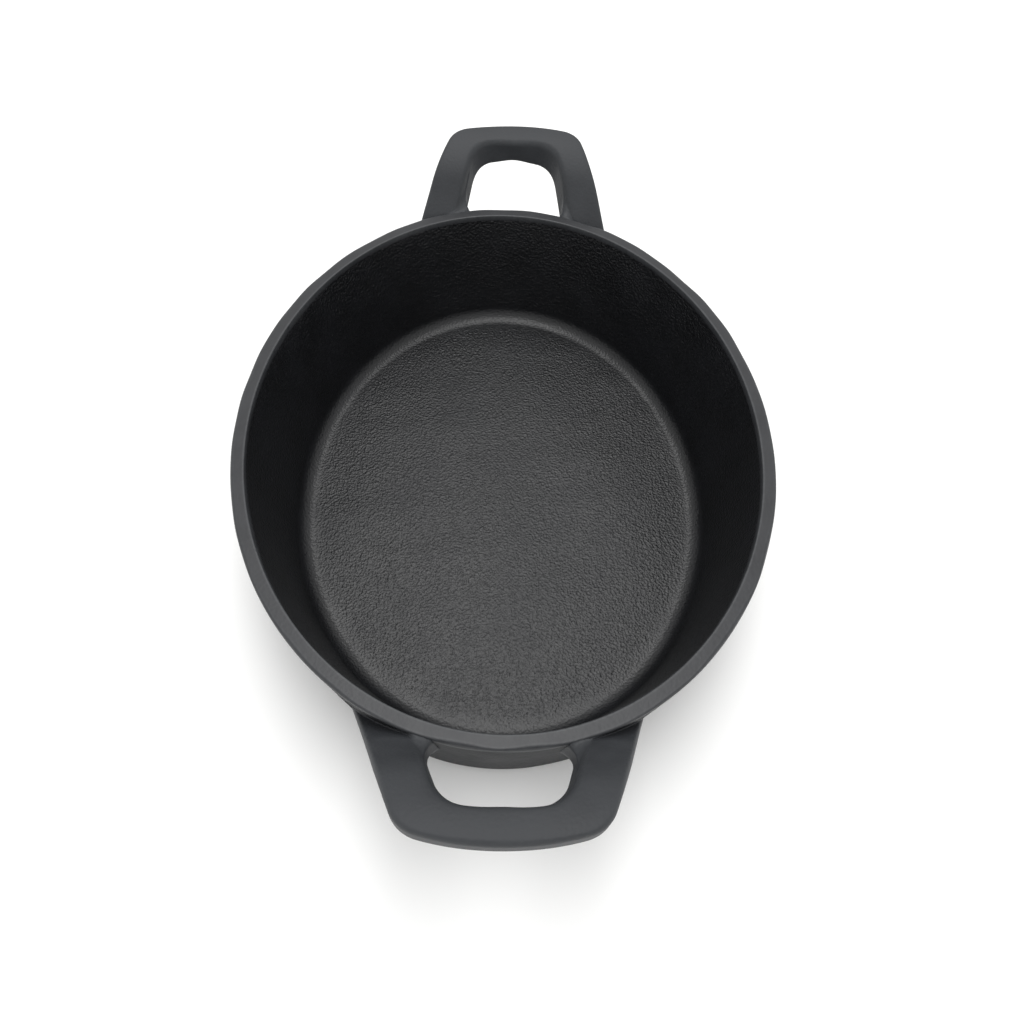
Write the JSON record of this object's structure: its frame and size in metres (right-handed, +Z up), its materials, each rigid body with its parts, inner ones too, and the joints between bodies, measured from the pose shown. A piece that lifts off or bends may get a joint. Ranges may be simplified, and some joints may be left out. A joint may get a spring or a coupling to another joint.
{
  "type": "oval cast iron serving pot",
  "caption": "Small deep oval serving pot in black seasoned cast iron, with drafted walls, a flat ground rim and upswept loop handles at the ends of its long axis.",
  "frame": {"origin": "centre of the flat base, on the surface that the pot stands on", "axes": "+Z up out of the mouth, +Y along the long axis towards the rear handle, +X towards the right-hand side seen from the front handle"},
  "size_m": [0.1298, 0.1976, 0.0518],
  "materials": {
    "seasoned_cast_iron": "sand-cast, black seasoned, fine pebble texture",
    "ground_rim_iron": "ground smooth, then seasoned"
  },
  "bodies": {
    "root": {"floor": "seasoned_cast_iron", "heel": "seasoned_cast_iron", "side_wall": "seasoned_cast_iron", "rim": "ground_rim_iron", "front_handle_grip": "seasoned_cast_iron", "front_handle_left_leg": "seasoned_cast_iron", "front_handle_right_leg": "seasoned_cast_iron", "rear_handle_grip": "seasoned_cast_iron", "rear_handle_left_leg": "seasoned_cast_iron", "rear_handle_right_leg": "seasoned_cast_iron"}
  },
  "joints": []
}
